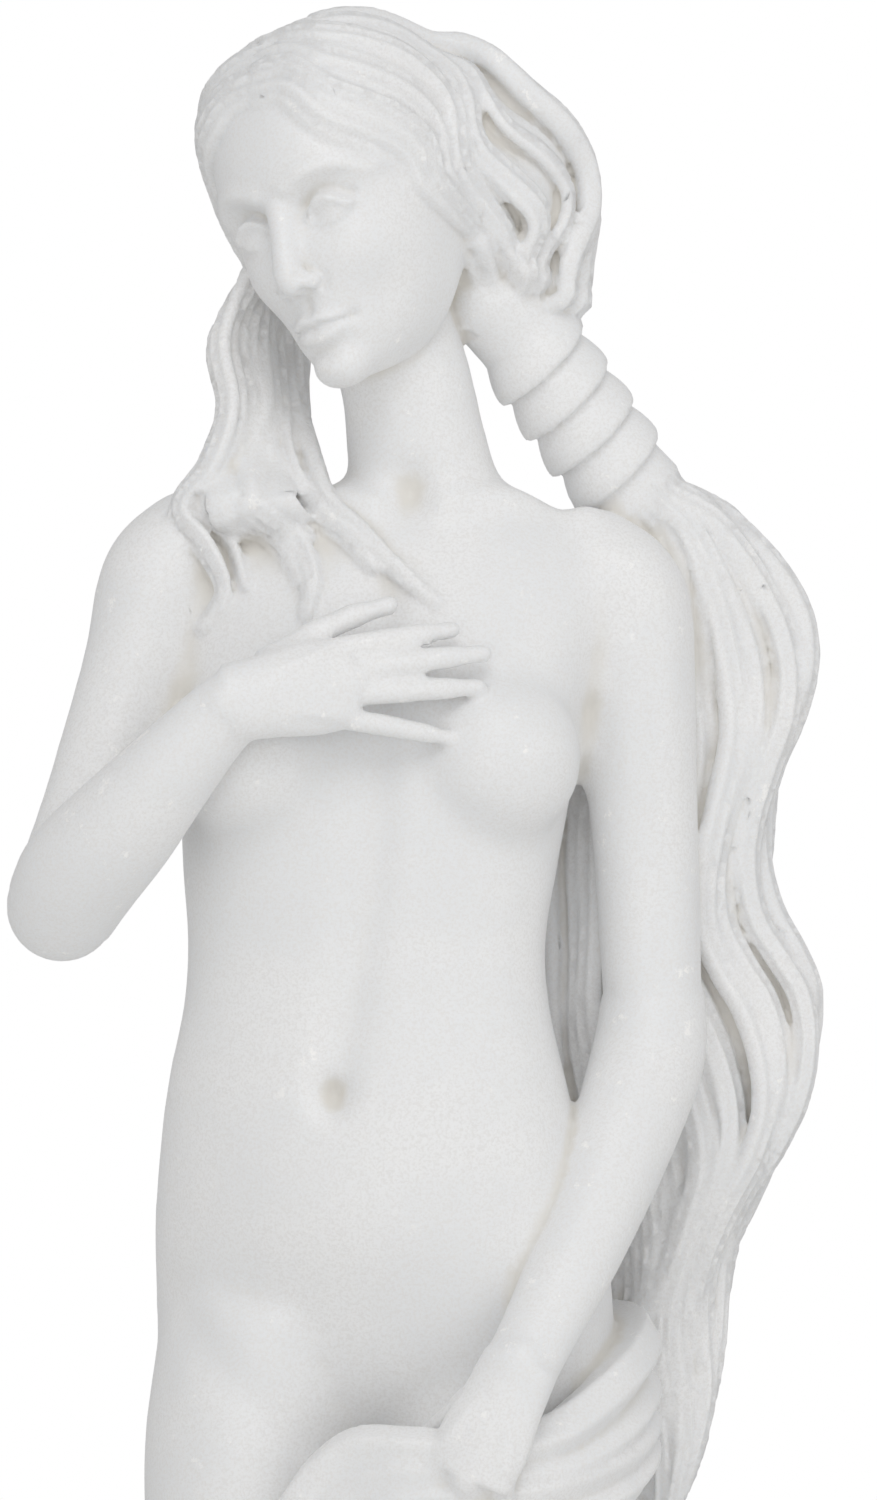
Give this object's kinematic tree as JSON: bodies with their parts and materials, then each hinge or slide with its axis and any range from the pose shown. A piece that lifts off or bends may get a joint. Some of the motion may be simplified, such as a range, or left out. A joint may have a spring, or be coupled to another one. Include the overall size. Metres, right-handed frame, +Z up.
{
  "type": "aphrodite statue",
  "caption": "Cast-marble statuette of a standing Aphrodite, a hand at the breast and the other gathering a hip cloth, on a low oval base.",
  "frame": {"origin": "centre of the oval base's underside", "axes": "+Z up, -Y the figure's front, +X to the viewer's right (the figure's left)"},
  "size_m": [0.0845, 0.0621, 0.3017],
  "materials": {
    "cast_marble": "satin matte white cast marble, slightly translucent"
  },
  "bodies": {
    "root": {"statue": "cast_marble"}
  },
  "joints": []
}
